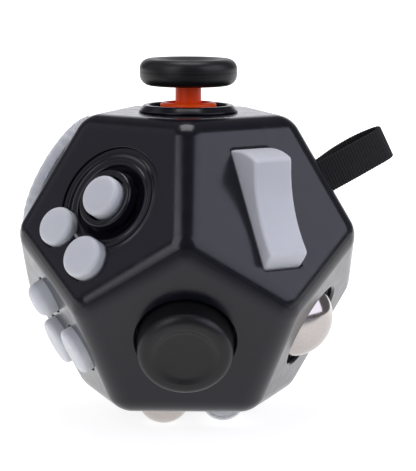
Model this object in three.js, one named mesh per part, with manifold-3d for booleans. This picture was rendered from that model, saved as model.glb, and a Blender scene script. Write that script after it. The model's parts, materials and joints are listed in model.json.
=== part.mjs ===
// A twelve-sided fidget cube: a rounded dodecahedral case in two halves, with a different
// finger toy on each face. Millimetres, +Z up. The origin is the centre of the flat bottom face.
import * as THREE from 'three';
import { ConvexGeometry } from 'three/addons/geometries/ConvexGeometry.js';
import { mergeVertices } from 'three/addons/utils/BufferGeometryUtils.js';
import Module from 'manifold-3d';

const wasm = await Module();
wasm.setup();

// ---------------------------------------------------------------- driving dimensions

const ACROSS_FLATS = 43;          // bottom face to top face of the case
const EDGE_ROUND = 4.2;           // radius on the case's edges and corners
const WALL = 2;                   // case wall
const SEAM = 0.16;                // gap between the two case halves
const PLAY = 0.3;                 // usual gap between neighbouring pieces
const FOOT = 0.7;                 // thickness of the foot that holds a button in the case
const MERGE = 1e-4;

const INRADIUS = ACROSS_FLATS / 2;
const EDGE = INRADIUS / 1.113516364;
const CAP_RADIUS = 0.850650808 * EDGE;     // radius of the top and bottom corner rings
const BELT_RADIUS = 1.376381920 * EDGE;    // radius of the two middle corner rings
const BELT_HEIGHT = 0.262865556 * EDGE;    // height of those rings above or below the middle
const FACE_SLOPE = 26.56505118;            // slope of a side face's normal, in degrees

const STICK = {
  pivot: -4.6, tiltClear: 6.35, stemR: 1.93, skirtR: 4.22, skirtTop: 1.4,
  capR: 7.15, capLow: 4, capHigh: 7.85, capRound: 1.55, dish: 0.75,
  bezelR: 7.4, bezelTopR: 6.57, bezelMouthR: 5.87, bezelHigh: 1.1,
  holeR: 7.05, socketR: 6.2, socketDeep: 9.4,
};
const PAD = {
  x: 0.25, y: 0.4, grooveR: 8.2, landR: 7.6, stepR: 5.95, floor: -1.9, mouthR: 3.3,
  collarR: 4.4, collarHigh: 1.4, wellR: 3.4, capR: 3.05, capHigh: 2.7,
  buttonR: [2.9, 3.12], buttonHigh: [1.1, 1.7], travel: 0.8, ring: 9, spread: 26.3, towards: -122.5,
};
const ROCKER = {
  x: 0.3, y: -0.5, depth: 3, width: 6.6, slotX: 7.1, slotY: 18.8, arcR: 9.5,
  shoulder: 6.6, sag: 1.25, round: 0.8, tilt: 9.9, pinR: 0.9,
};
const PRESS = {
  holeR: 7.3, padR: 6.65, rimHigh: 4, dishHigh: 3.3, round: 1.4, travel: 1.6,
  housingR: 8.3, housingDeep: 7.2,
};
const CLICK = {
  buttons: [
    { x: 0.8, y: 5.2, r: 2.65, high: 2.6 },
    { x: -4.6, y: -3.1, r: 3.6, high: 1.8 },
    { x: 5.4, y: -2.9, r: 3.5, high: 1.7 },
  ],
  travel: 1,
};
const BALL = { r: 6, centre: -3.2, holeR: 6.45, lipR: 5.78 };
const DIAL = { y: 1.1, r: 10, low: 0.3, high: 2.1, scallops: 32, scallopDeep: 0.35, stemR: 2.4 };
const STRAP = {
  y: 0.4, width: 5.15, length: 14.2, thick: 0.55, bow: 2.4, slotX: 2.2, slotY: 6,
  pinR: 0.8, pinDeep: 5.2, hidden: -0.7,
};
const SLIDER = { travel: 2.7, neckX: 3.2, neckY: 2.4, knobX: 6.4, knobY: 6, knobHigh: 2.2 };
const STONE = { r: 8.6, dish: 1.5 };
const SPIN = { r: 8.2, low: 0.3, high: 2, stemR: 1.7, bearingR: 4 };
const SMALL_BALL = { x: -3.4, y: 5.5, r: 4, centre: -1.15 };
const WHEELS = {
  x: 5.4, r: 3.25, centre: -1.15, wide: 2.6, teeth: 12, toothDeep: 0.2, axleR: 0.7,
  rows: [6.3, 3.3, 0.3],
};

// ---------------------------------------------------------------- materials

function plastic(color, roughness, metalness = 0) {
  return new THREE.MeshStandardMaterial({ color, roughness, metalness });
}

const BLACK = plastic(0x19191c, 0.32);
const GREY = plastic(0xc0c3cc, 0.4);
const ORANGE = plastic(0xe2571a, 0.4);
const RUBBER = plastic(0x151516, 0.7);
const STEEL = plastic(0xd2d2d2, 0.08, 1);
const WIRE = plastic(0xa8a9ab, 0.35, 1);
const WEBBING = plastic(0x1b1b1d, 0.9);
const BRACKET = plastic(0xd8d8d2, 0.6);

// ---------------------------------------------------------------- solids

// A closed geometry as a manifold solid: shared corners merged, collapsed triangles dropped,
// and the winding turned so that the faces point out.
function solid(geometry) {
  const bare = geometry.clone();
  bare.deleteAttribute('normal');
  bare.deleteAttribute('uv');
  const merged = mergeVertices(bare, MERGE);
  const at = merged.attributes.position;
  const index = merged.index.array;
  const kept = [];
  const a = new THREE.Vector3();
  const b = new THREE.Vector3();
  const c = new THREE.Vector3();
  let volume = 0;
  for (let i = 0; i < index.length; i += 3) {
    const [p, q, r] = [index[i], index[i + 1], index[i + 2]];
    if (p === q || q === r || r === p) continue;
    kept.push([p, q, r]);
    a.fromBufferAttribute(at, p);
    b.fromBufferAttribute(at, q);
    c.fromBufferAttribute(at, r);
    volume += a.dot(b.cross(c));
  }
  const triVerts = new Uint32Array(kept.flatMap(([p, q, r]) => (volume > 0 ? [p, q, r] : [p, r, q])));
  return new wasm.Manifold(new wasm.Mesh({ numProp: 3, vertProperties: at.array, triVerts }));
}

function join(first, ...others) {
  return others.reduce((sum, other) => sum.add(other), first);
}

function cut(first, ...others) {
  return others.reduce((rest, other) => rest.subtract(other), first);
}

// A profile of [radius, height] points turned about Z. A ring's profile closes on itself.
function turned(profile, sides = 20, x = 0, y = 0) {
  const onAxis = profile[0][0] === 0 && profile[profile.length - 1][0] === 0;
  const points = profile.map(([r, z]) => new THREE.Vector2(r, z));
  if (!onAxis) points.push(points[0].clone());
  return new THREE.LatheGeometry(points, sides).rotateX(Math.PI / 2).translate(x, y, 0);
}

function rod(r, low, high, sides = 14, x = 0, y = 0) {
  return new THREE.CylinderGeometry(r, r, high - low, sides)
    .rotateX(Math.PI / 2).translate(x, y, (low + high) / 2);
}

function block(x0, x1, y0, y1, z0, z1) {
  return new THREE.BoxGeometry(x1 - x0, y1 - y0, z1 - z0)
    .translate((x0 + x1) / 2, (y0 + y1) / 2, (z0 + z1) / 2);
}

// An outline in XY raised from z0 to z1.
function raised(points, z0, z1) {
  const shape = new THREE.Shape(points.map(([x, y]) => new THREE.Vector2(x, y)));
  return new THREE.ExtrudeGeometry(shape, { depth: z1 - z0, bevelEnabled: false, curveSegments: 8 })
    .translate(0, 0, z0);
}

// An outline in YZ made as wide as the given X range.
function sideways(points, x0, x1) {
  return raised(points, x0, x1).applyMatrix4(
    new THREE.Matrix4().set(0, 0, 1, 0, 1, 0, 0, 0, 0, 1, 0, 0, 0, 0, 0, 1),
  );
}

// An outline in XZ made as wide as the given Y range.
function lengthways(points, y0, y1) {
  return raised(points, -y1, -y0).rotateX(Math.PI / 2);
}

// Points of an arc, angles in degrees.
function arc(cx, cy, r, from, to, steps) {
  return Array.from({ length: steps + 1 }, (_, i) => {
    const angle = THREE.MathUtils.degToRad(from + (to - from) * i / steps);
    return [cx + r * Math.cos(angle), cy + r * Math.sin(angle)];
  });
}

// The outline around several circles, as [x, y, r].
function around(circles, sides = 14) {
  const points = circles.flatMap(([x, y, r]) => arc(x, y, r, 0, 360 - 360 / sides, sides - 1));
  const sorted = points.toSorted((p, q) => p[0] - q[0] || p[1] - q[1]);
  const half = (list) => {
    const hull = [];
    for (const p of list) {
      while (hull.length > 1) {
        const [a, b] = hull.slice(-2);
        const turn = (b[0] - a[0]) * (p[1] - a[1]) - (b[1] - a[1]) * (p[0] - a[0]);
        if (turn > 1e-6) break;
        hull.pop();
      }
      hull.push(p);
    }
    return hull.slice(0, -1);
  };
  return [...half(sorted), ...half(sorted.toReversed())];
}

class Helix extends THREE.Curve {
  constructor(r, low, high, turns) {
    super();
    Object.assign(this, { r, low, high, turns });
  }

  getPoint(t, target = new THREE.Vector3()) {
    const angle = t * this.turns * 2 * Math.PI;
    return target.set(
      this.r * Math.cos(angle), this.r * Math.sin(angle), this.low + (this.high - this.low) * t,
    );
  }
}

// A coil spring of square wire between two heights, outer surfaces included.
function coil(r, low, high, turns, wire) {
  const half = wire / 2;
  const section = new THREE.Shape([
    new THREE.Vector2(-half, -half), new THREE.Vector2(half, -half),
    new THREE.Vector2(half, half), new THREE.Vector2(-half, half),
  ]);
  const path = new Helix(r, low + half * 1.5, high - half * 1.5, turns);
  return new THREE.ExtrudeGeometry(section, { steps: Math.round(12 * turns), extrudePath: path });
}

// A ball about a height on the Z axis.
function ball(r, z, across = 20, x = 0, y = 0) {
  return new THREE.SphereGeometry(r, across, Math.round(across * 0.6))
    .rotateX(Math.PI / 2).translate(x, y, z);
}

// ---------------------------------------------------------------- the frame of each face

const part = new THREE.Group();

// A group whose +Z is the face's outward normal, +Y runs up the face and +X level across it.
function faceGroup(azimuth, slope) {
  const az = THREE.MathUtils.degToRad(azimuth);
  const el = THREE.MathUtils.degToRad(slope);
  const out = new THREE.Vector3(Math.sin(az) * Math.cos(el), -Math.cos(az) * Math.cos(el), Math.sin(el));
  const level = new THREE.Vector3(Math.cos(az), Math.sin(az), 0);
  const up = new THREE.Vector3().crossVectors(out, level);
  const group = new THREE.Group();
  group.matrixAutoUpdate = false;
  group.matrix.makeBasis(level, up, out)
    .setPosition(out.x * INRADIUS, out.y * INRADIUS, out.z * INRADIUS + INRADIUS);
  group.matrix.decompose(group.position, group.quaternion, group.scale);
  group.updateMatrix();
  part.add(group);
  return group;
}

const FACES = {
  stick: faceGroup(0, 90),
  pad: faceGroup(-36, FACE_SLOPE),
  rocker: faceGroup(36, FACE_SLOPE),
  dial: faceGroup(-108, FACE_SLOPE),
  strap: faceGroup(108, FACE_SLOPE),
  slider: faceGroup(180, FACE_SLOPE),
  press: faceGroup(0, -FACE_SLOPE),
  click: faceGroup(-72, -FACE_SLOPE),
  ball: faceGroup(72, -FACE_SLOPE),
  stone: faceGroup(144, -FACE_SLOPE),
  spin: faceGroup(-144, -FACE_SLOPE),
  base: faceGroup(0, -90),
};

function add(name, body, material, group = part) {
  const { vertProperties, triVerts } = body.getMesh();
  const geometry = new THREE.BufferGeometry();
  geometry.setAttribute('position', new THREE.BufferAttribute(vertProperties.slice(), 3));
  geometry.setIndex(new THREE.BufferAttribute(triVerts.slice(), 1));
  geometry.computeVertexNormals();
  const mesh = new THREE.Mesh(geometry, material);
  mesh.name = name;
  group.add(mesh);
}

// What each face takes out of the case and leaves standing inside it.
const openings = [];
const bosses = [];

function open(group, geometry) {
  openings.push(solid(geometry.applyMatrix4(group.matrix)));
}

function boss(group, geometry) {
  bosses.push(solid(geometry.applyMatrix4(group.matrix)));
}

// A push button: a rounded cap on a wider foot that stays under the case wall.
function button(r, high, foot = 0.6) {
  const round = 0.6;
  const low = -WALL - PLAY;
  return turned([
    [0, low - FOOT], [r + foot, low - FOOT], [r + foot, low], [r, low],
    ...arc(r - round, high - round, round, 0, 90, 2), [0, high],
  ], 18);
}

// A thin snap dome under a button, with its crown where the button's foot stops.
function dome(r, travel) {
  const high = -WALL - PLAY - FOOT - travel - PLAY;
  const low = high - 0.7;
  return turned([[0, high - 0.2], [r, low], [r + 0.3, low], [r * 0.7, high]], 12);
}

// ---------------------------------------------------------------- top: thumb stick

function makeStick() {
  const face = FACES.stick;
  const s = STICK;
  open(face, rod(s.holeR, -WALL - 1, 1, 20));

  const bezel = turned([
    [s.bezelR, 0.05], [s.bezelTopR + 0.15, s.bezelHigh - 0.15], [s.bezelTopR, s.bezelHigh],
    [s.bezelMouthR + 0.15, s.bezelHigh], [s.bezelMouthR, s.bezelHigh - 0.15], [s.bezelMouthR, 0.6],
    [s.tiltClear, 0.3], [s.tiltClear, -WALL], [s.holeR - PLAY, -WALL], [s.holeR - PLAY, 0.05],
  ], 24);
  add('stick_bezel', solid(bezel), BLACK, face);

  const cap = cut(
    solid(turned([
      [0, s.capLow],
      ...arc(s.capR - s.capRound, s.capLow + s.capRound, s.capRound, -90, 0, 3),
      ...arc(s.capR - s.capRound, s.capHigh - s.capRound, s.capRound, 0, 90, 3),
      [s.capR - 2.2, s.capHigh - 0.12], [s.capR - 4, s.capHigh - s.dish * 0.8],
      [0, s.capHigh - s.dish],
    ], 22)),
    solid(rod(s.stemR + 0.15, s.capLow - 1, s.capHigh - 1.35, 16)),
  );
  add('stick_cap', cap, RUBBER, face);

  const foot = s.pivot - 1.4;
  const stem = join(
    solid(turned([
      [0, foot], [1.9, foot], [1.9, foot + 0.6], [1.5, foot + 0.9], [1.5, -2.6], [2.6, -2.1],
      [3.6, -1], [s.skirtR, 0.2], [s.skirtR, s.skirtTop - 0.25], [s.skirtR - 0.25, s.skirtTop],
      [s.skirtR - 0.6, s.skirtTop], [s.skirtR - 1.2, 0.6], [s.stemR, 0.45],
      [s.stemR, s.capHigh - 1.5], [0, s.capHigh - 1.5],
    ], 20)),
    solid(rod(0.6, -3.7, 3.7, 12).rotateX(Math.PI / 2).translate(0, 0, s.pivot)),
  );
  add('stick_stem', stem, ORANGE, face);

  const [ringLow, ringHigh] = [s.pivot - 1, s.pivot + 1];
  const ring = solid(turned([[2.95, ringLow], [4, ringLow], [4, ringHigh], [2.95, ringHigh]], 16));
  const trunnions = [-1, 1].map((side) => solid(
    rod(0.7, 3.6, 5.5, 10).rotateY(side * Math.PI / 2).translate(0, 0, s.pivot),
  ));
  const bore = solid(rod(0.8, -5, 5, 12).rotateX(Math.PI / 2).translate(0, 0, s.pivot));
  add('stick_gimbal', cut(join(ring, ...trunnions), bore), BRACKET, face);

  const low = -s.socketDeep;
  const wallR = s.socketR - 0.9;
  const cup = solid(turned([
    [0, low], [s.socketR, low], [s.socketR, -WALL - PLAY], [wallR, -WALL - PLAY],
    [wallR, low + 0.8], [0, low + 0.8],
  ], 18));
  const bearings = solid(rod(0.9, -8, 8, 10).rotateY(Math.PI / 2).translate(0, 0, s.pivot));
  add('stick_socket', cut(cup, bearings), BRACKET, face);
  add('stick_spring', solid(coil(1.9, low + 1, s.pivot - 2.1, 2.5, 0.4)), WIRE, face);
}

// ---------------------------------------------------------------- game pad: glide pad and buttons

function makePad() {
  const face = FACES.pad;
  const p = PAD;
  boss(face, rod(p.grooveR + 0.6, -4, -WALL + 0.2, 18, p.x, p.y));
  open(face, turned([
    [0, 1], [p.grooveR, 1], [p.grooveR, -0.3], [p.grooveR - 0.35, -0.3], [p.grooveR - 0.35, -0.02],
    [p.landR, -0.12], [p.stepR + 0.35, -0.55], [p.stepR, -0.75], [p.stepR - 0.2, p.floor],
    [0, p.floor],
  ], 22, p.x, p.y));
  open(face, rod(p.mouthR, -5, 1, 16, p.x, p.y));

  const hub = cut(
    solid(turned([
      [0, -5.9], [3.3, -5.9], [3.3, -5.2], [2, -5.2], [2, p.floor + 0.4],
      [p.collarR - 0.3, p.floor + 0.4], [p.collarR, p.floor + 0.7],
      [p.collarR, p.collarHigh - 0.3], [p.collarR - 0.3, p.collarHigh], [0, p.collarHigh],
    ], 20, p.x, p.y)),
    solid(rod(p.wellR, -0.9, 3, 18, p.x, p.y)),
  );
  add('pad_hub', hub, BLACK, face);

  const center = turned([
    [0, 0], [p.capR, 0], ...arc(p.capR - 0.6, p.capHigh - 0.6, 0.6, 0, 90, 2), [0, p.capHigh],
  ], 18, p.x, p.y);
  add('center_button', solid(center), GREY, face);

  const carriage = cut(
    solid(block(p.x - 4, p.x + 4, p.y - 5, p.y + 5, -4.9, -4.3)),
    solid(block(p.x - 2.2, p.x + 2.2, p.y - 3.2, p.y + 3.2, -6, -3)),
  );
  add('pad_carriage', carriage, BRACKET, face);

  const places = [-1, 1].map((side) => {
    const angle = THREE.MathUtils.degToRad(p.towards + side * p.spread);
    return [p.x + p.ring * Math.cos(angle), p.y + p.ring * Math.sin(angle)];
  });
  places.forEach(([x, y], i) => {
    const letter = 'ab'[i];
    open(face, rod(p.buttonR[i] + PLAY, -5, 3, 18, x, y));
    open(face, rod(p.buttonR[i] + 0.9, -5, -WALL, 16, x, y));
    const cap = button(p.buttonR[i], p.buttonHigh[i], 0.5).translate(x, y, 0);
    add(`button_${letter}`, solid(cap), GREY, face);
    add(`button_${letter}_dome`, solid(dome(2, p.travel).translate(x, y, 0)), WIRE, face);
  });
  const plate = raised(around([[p.x, p.y, 5.4], ...places.map(([x, y]) => [x, y, 2.6])]), -7.2, -6.5);
  const posts = places.map(([x, y]) => solid(rod(2.5, -6.6, -5.2, 12, x, y)));
  add('pad_back_plate', join(solid(plate), ...posts), BRACKET, face);
}

// ---------------------------------------------------------------- rocker switch

function makeRocker() {
  const face = FACES.rocker;
  const k = ROCKER;
  const [y0, y1] = [k.y - k.slotY / 2, k.y + k.slotY / 2];
  open(face, block(k.x - k.slotX / 2, k.x + k.slotX / 2, y0, y1, -WALL - 2, 2));
  open(face, block(k.x - k.slotX / 2, k.x + k.slotX / 2, y0 - 0.45, y1 + 0.45, -WALL - 2, -0.6));

  // Side outline about the pin: round ends about the pin, a hollow top and a hub.
  const endY = Math.sqrt(k.arcR ** 2 - k.shoulder ** 2);
  const endAngle = THREE.MathUtils.radToDeg(Math.asin(k.shoulder / k.arcR)) - 5;
  const hollowR = (endY ** 2 + k.sag ** 2) / (2 * k.sag);
  const half = THREE.MathUtils.radToDeg(Math.asin((endY - 1) / hollowR));
  const outline = [
    ...arc(0, 0, k.arcR, -9, endAngle, 4),
    ...arc(0, k.shoulder - k.sag + hollowR, hollowR, -90 + half, -90 - half, 6),
    ...arc(0, 0, k.arcR, 180 - endAngle, 189, 4),
    [-3, -1.6], ...arc(0, 0, 1.9, 215, 325, 5), [3, -1.6],
  ];
  const body = cut(
    solid(sideways(outline, -k.width / 2, k.width / 2)),
    solid(rod(k.pinR + 0.15, -5, 5, 14).rotateY(Math.PI / 2)),
  );
  add('rocker', body.rotate([k.tilt, 0, 0]).translate([k.x, k.y, -k.depth]), GREY, face);

  const pin = rod(k.pinR, -4.9, 4.9, 14).rotateY(Math.PI / 2).translate(k.x, k.y, -k.depth);
  add('rocker_pin', solid(pin), WIRE, face);

  const frame = cut(
    solid(block(k.x - 4.8, k.x + 4.8, k.y - 2.6, k.y + 2.6, -6.9, -WALL - PLAY)),
    solid(block(k.x - 3.7, k.x + 3.7, k.y - 4, k.y + 4, -6.1, 0)),
    solid(rod(k.pinR + 0.15, -6, 6, 14).rotateY(Math.PI / 2).translate(k.x, k.y, -k.depth)),
  );
  add('rocker_frame', frame, BRACKET, face);

  const leaf = [
    [-2.4, -5.2], [-1, -5.75], [1, -5.75], [2.4, -5.2],
    [2.4, -4.9], [1.1, -5.45], [-1.1, -5.45], [-2.4, -4.9],
  ];
  add('rocker_leaf', solid(sideways(leaf, -1.5, 1.5).translate(k.x, k.y, 0)), WIRE, face);
}

// ---------------------------------------------------------------- press pad

function makePress() {
  const face = FACES.press;
  const p = PRESS;
  open(face, rod(p.holeR, -WALL - 1, 2, 20));
  const crest = p.padR - p.round;
  const pad = turned([
    [0, -3.6], [7.9, -3.6], [7.9, -WALL - PLAY - 0.3], [7.5, -WALL - PLAY], [p.padR, -WALL - PLAY],
    ...arc(crest, p.rimHigh - p.round, p.round, 0, 100, 4),
    [crest - 1.2, p.rimHigh - 0.28], [crest - 2.6, p.dishHigh + 0.12], [0, p.dishHigh],
  ], 22);
  add('press_pad', solid(pad), RUBBER, face);

  const low = -p.housingDeep;
  const housing = turned([
    [0, low], [p.housingR - 0.6, low], [p.housingR, low + 0.9], [p.housingR + 0.6, -WALL - PLAY],
    [p.housingR - 0.1, -WALL - PLAY], [p.housingR - 0.1, low + 0.8], [0, low + 0.8],
  ], 18);
  add('press_housing', solid(housing), BRACKET, face);
  add('press_spring', solid(coil(3, low + 1, -p.travel - 3.8, 1.5, 0.5)), WIRE, face);
}

// ---------------------------------------------------------------- click buttons

function makeClick() {
  const face = FACES.click;
  CLICK.buttons.forEach(({ x, y, r, high }, i) => {
    open(face, rod(r + PLAY, -WALL - 1, 3, 18, x, y));
    add(`click_button_${i + 1}`, solid(button(r, high).translate(x, y, 0)), GREY, face);
    add(`click_dome_${i + 1}`, solid(dome(r * 0.6, CLICK.travel).translate(x, y, 0)), WIRE, face);
  });
  const plate = raised(around(CLICK.buttons.map(({ x, y, r }) => [x, y, r + 0.6])), -6.1, -5.3);
  add('click_plate', solid(plate), BRACKET, face);
}

// ---------------------------------------------------------------- large steel ball

function makeBall() {
  const face = FACES.ball;
  const b = BALL;
  open(face, turned([
    [0, 2], [b.holeR + 0.25, 2], [b.holeR + 0.25, 0], [b.holeR, -0.3], [b.holeR, -0.9], [b.lipR, -1.05],
    [b.lipR + 0.4, -WALL - 0.1], [b.lipR + 0.4, -WALL - 1], [0, -WALL - 1],
  ], 20));
  add('roller_ball', solid(ball(b.r, b.centre, 18)), STEEL, face);
  const inside = arc(0, b.centre, b.r + 0.4, -86, 6, 5);
  const cup = turned([
    [inside[0][0], b.centre - b.r - 1], [3.2, b.centre - b.r - 1], [6.2, b.centre - b.r + 2.2],
    [7.4, b.centre - 1.4], [7.4, -WALL - PLAY], [inside[5][0], -WALL - PLAY],
    ...inside.toReversed().slice(1),
  ], 16);
  add('roller_cup', solid(cup), BRACKET, face);
}

// ---------------------------------------------------------------- ribbed dial

function makeDial() {
  const face = FACES.dial;
  const d = DIAL;
  open(face, rod(d.stemR + PLAY, -WALL - 1, 1, 16, 0, d.y));
  const steps = 2 * d.scallops;
  const outline = Array.from({ length: steps }, (_, i) => {
    const angle = 2 * Math.PI * i / steps;
    const r = d.r - d.scallopDeep * (1 - Math.abs(Math.cos(angle * d.scallops / 2)));
    return [r * Math.cos(angle), r * Math.sin(angle)];
  });
  const dial = cut(
    join(
      solid(raised(outline, d.low, d.high)),
      solid(turned([[0, -3.4], [d.stemR, -3.4], [d.stemR, d.low + 0.1], [0, d.low + 0.1]], 20)),
    ),
    solid(turned([
      [0, d.high + 1], [8.2, d.high + 1], [8.2, d.high - 0.05], [7.4, d.high - 0.6],
      [3.4, d.high - 0.7], [0, d.high - 0.9],
    ], 24)),
    solid(rod(0.8, -4, -0.6, 12)),
  );
  add('ribbed_dial', dial.translate([0, d.y, 0]), GREY, face);
  const washer = turned([[0.9, -4.2], [4, -4.2], [4, -3.6], [0.9, -3.6]], 16, 0, d.y);
  add('dial_washer', solid(washer), WIRE, face);
  const screw = turned([
    [0, -5.2], [1.5, -5.2], [1.5, -4.4], [0.6, -4.4], [0.6, -1], [0, -1],
  ], 12, 0, d.y);
  add('dial_screw', solid(screw), WIRE, face);
}

// ---------------------------------------------------------------- carrying strap

function makeStrap() {
  const face = FACES.strap;
  const s = STRAP;
  open(face, block(-s.slotX / 2, s.slotX / 2, s.y - s.slotY / 2, s.y + s.slotY / 2, -WALL - 1, 1));
  const [y0, y1] = [s.y - s.width / 2, s.y + s.width / 2];
  const t = s.thick;
  const front = -t - 0.1;
  const outer = [
    [front, 0.3], [front - 0.1, 6], [front + 0.05, s.length - 0.5], [0, s.length], [t, s.length - 0.35],
    [1.3, s.length - 2.4], [s.bow, 9], [s.bow - 0.4, 5], [t + 0.1, 0.3],
  ];
  const inner = [
    [front + t, 0.25], [front + t - 0.1, 6], [front + t, s.length - 0.9], [0.15, s.length - 0.9],
    [1.3 - t, s.length - 2.8], [s.bow - t, 8.9], [s.bow - 0.4 - t, 5.1], [0.12, 0.25],
  ];
  const loop = cut(
    solid(lengthways(outer, y0, y1)),
    solid(lengthways(inner, y0 - 1, y1 + 1)),
  );
  add('strap_loop', loop, WEBBING, face);

  const turnR = s.pinR + 0.15;
  const end = cut(
    join(
      solid(block(-t - 0.1, t + 0.1, y0, y1, -s.pinDeep, s.hidden)),
      solid(rod(turnR + t, -y1, -y0, 16).rotateX(Math.PI / 2).translate(0, 0, -s.pinDeep)),
    ),
    solid(rod(turnR, -9, 9, 16).rotateX(Math.PI / 2).translate(0, 0, -s.pinDeep)),
  );
  add('strap_end', end, WEBBING, face);
  const pin = rod(s.pinR, -y1 - 1.6, -y0 + 1.6, 14).rotateX(Math.PI / 2).translate(0, 0, -s.pinDeep);
  add('strap_pin', solid(pin), WIRE, face);
  for (const [a, b] of [[y0 - 1.9, y0 - 0.4], [y1 + 0.4, y1 + 1.9]]) {
    boss(face, block(-1.9, 1.9, a, b, -s.pinDeep - 2, -WALL + 0.2));
  }
  const socket = rod(s.pinR + PLAY, -y1 - 1.9, -y0 + 1.9, 12).rotateX(Math.PI / 2);
  open(face, socket.translate(0, 0, -s.pinDeep));
}

// ---------------------------------------------------------------- slide switch

function makeSlider() {
  const face = FACES.slider;
  const s = SLIDER;
  const [slotX, slotY] = [s.neckX / 2 + s.travel + PLAY, s.neckY / 2 + PLAY];
  open(face, block(-slotX, slotX, -slotY, slotY, -WALL - 1, 1));
  const [x, y] = [s.knobX / 2, s.knobY / 2];
  const ribs = [-1.6, 0, 1.6].map((at) => solid(
    block(at - 0.3, at + 0.3, -y + 0.6, y - 0.6, s.knobHigh - 0.5, s.knobHigh),
  ));
  const knob = join(
    solid(block(-x, x, -y, y, PLAY, s.knobHigh - 0.45)),
    ...ribs,
    solid(block(-s.neckX / 2, s.neckX / 2, -s.neckY / 2, s.neckY / 2, -WALL - 0.6, PLAY + 0.1)),
    solid(block(-3, 3, -2.6, 2.6, -WALL - 1, -WALL - PLAY)),
  );
  add('slide_knob', knob, GREY, face);
  const rails = [-3.3, 3.3].map((at) => solid(
    block(-7, 7, at - 0.4, at + 0.4, -3.6, -WALL - PLAY),
  ));
  const plate = join(solid(block(-7, 7, -3.8, 3.8, -4.2, -3.5)), ...rails);
  add('slide_plate', plate, BRACKET, face);
}

// ---------------------------------------------------------------- worry stone

function makeStone() {
  const face = FACES.stone;
  const { r, dish } = STONE;
  open(face, rod(r + PLAY, -WALL - 1, 1, 22));
  const stone = turned([
    [0, -3.3], [r + 0.8, -3.3], [r + 0.8, -WALL - PLAY], [r, -WALL - PLAY], [r, -0.2], [r - 0.2, 0],
    [r - 0.9, 0], [r - 2, -0.35], [r - 4, -dish + 0.35], [r - 6.2, -dish + 0.06], [0, -dish],
  ], 22);
  add('worry_stone', solid(stone), RUBBER, face);
}

// ---------------------------------------------------------------- spinning disc

function makeSpin() {
  const face = FACES.spin;
  const s = SPIN;
  const seatR = s.bearingR + PLAY;
  open(face, rod(seatR, -WALL - 1, 1, 18));
  const seat = [[seatR, -4.2], [5.6, -4.2], [5.6, -WALL + 0.2], [seatR, -WALL + 0.2]];
  boss(face, turned(seat, 18));
  const disc = cut(
    solid(turned([
      [0, -3.2], [s.stemR, -3.2], [s.stemR, -0.1], [2.4, s.low], [s.r - 0.4, s.low], [s.r, s.low + 0.5],
      [s.r, s.high - 0.6], [s.r - 0.6, s.high], [0, s.high],
    ], 22)),
    solid(ball(4.2, s.high + 2.7, 14, 4.2, 0)),
    solid(rod(0.8, -4, -0.6, 12)),
  );
  add('spin_disc', disc, GREY, face);
  const boreR = s.stemR + 0.25;
  const bearing = [[boreR, -3.2], [s.bearingR, -3.2], [s.bearingR, -0.4], [boreR, -0.4]];
  add('spin_bearing', solid(turned(bearing, 18)), STEEL, face);
  const screw = turned([[0, -4.4], [2.3, -4.4], [2.3, -3.5], [0.6, -3.5], [0.6, -1], [0, -1]], 12);
  add('spin_screw', solid(screw), WIRE, face);
}

// ---------------------------------------------------------------- bottom: small ball and wheels

function makeBase() {
  const face = FACES.base;
  const b = SMALL_BALL;
  open(face, turned([
    [0, 1], [b.r, 1], [b.r - 0.05, 0], [b.r + 0.25, -0.9], [b.r + 0.3, -WALL - 1],
    [0, -WALL - 1],
  ], 18, b.x, b.y));
  add('small_ball', solid(ball(b.r, b.centre, 16, b.x, b.y)), STEEL, face);
  const inside = arc(0, b.centre, b.r + 0.4, -84, -15.5, 3);
  const cup = turned([
    [inside[0][0], b.centre - b.r - 1], [2.6, b.centre - b.r - 1], [5.1, b.centre - b.r + 1.8],
    [5.1, -WALL - PLAY], [inside[3][0], -WALL - PLAY], ...inside.toReversed().slice(1),
  ], 16, b.x, b.y);
  add('small_cup', solid(cup), BRACKET, face);

  const w = WHEELS;
  const [y0, y1] = [w.rows[2] - w.wide / 2, w.rows[0] + w.wide / 2];
  open(face, block(w.x - w.r - 0.15, w.x + w.r + 0.15, y0 - 0.5, y1 + 0.5, -WALL - 1, 2));
  const pitch = 2 * Math.PI / w.teeth;
  const tooth = [[-0.32, 0], [-0.16, w.toothDeep], [0.16, w.toothDeep], [0.32, 0]];
  const outline = Array.from({ length: w.teeth }, (_, i) => tooth.map(([along, out]) => {
    const angle = (i + along) * pitch;
    const r = w.r - w.toothDeep + out;
    return [r * Math.cos(angle), r * Math.sin(angle)];
  })).flat();
  const wheel = cut(
    solid(raised(outline, -w.wide / 2, w.wide / 2)),
    solid(rod(w.axleR + 0.15, -5, 5, 12)),
  ).rotate([90, 0, 0]);
  w.rows.forEach((y, i) => {
    add(`gear_wheel_${i + 1}`, wheel.translate([w.x, y, w.centre]), GREY, face);
  });
  const half = (y1 - y0) / 2 + 1.6;
  const middle = (y0 + y1) / 2;
  const axle = rod(w.axleR, -half, half, 12).rotateX(Math.PI / 2);
  add('gear_axle', solid(axle.translate(w.x, middle, w.centre)), WIRE, face);
  const cradle = cut(
    solid(block(w.x - 4, w.x + 4, middle - half, middle + half, -5.8, -WALL - PLAY)),
    solid(block(w.x - 5, w.x + 5, y0 - 0.5, y1 + 0.5, -5, 0)),
  );
  add('gear_cradle', cradle, BRACKET, face);
  const notch = w.axleR + 0.2;
  for (const y of [y0 - 1.1, y1 + 1.1]) {
    open(face, block(w.x - notch, w.x + notch, y - 0.8, y + 0.8, -WALL - 1, w.centre + notch));
  }
}

// ---------------------------------------------------------------- the case

// A corner on a level ring about the middle of the case.
function ringPoint(r, z, azimuth) {
  const az = THREE.MathUtils.degToRad(azimuth);
  return new THREE.Vector3(r * Math.sin(az), -r * Math.cos(az), z);
}

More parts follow.
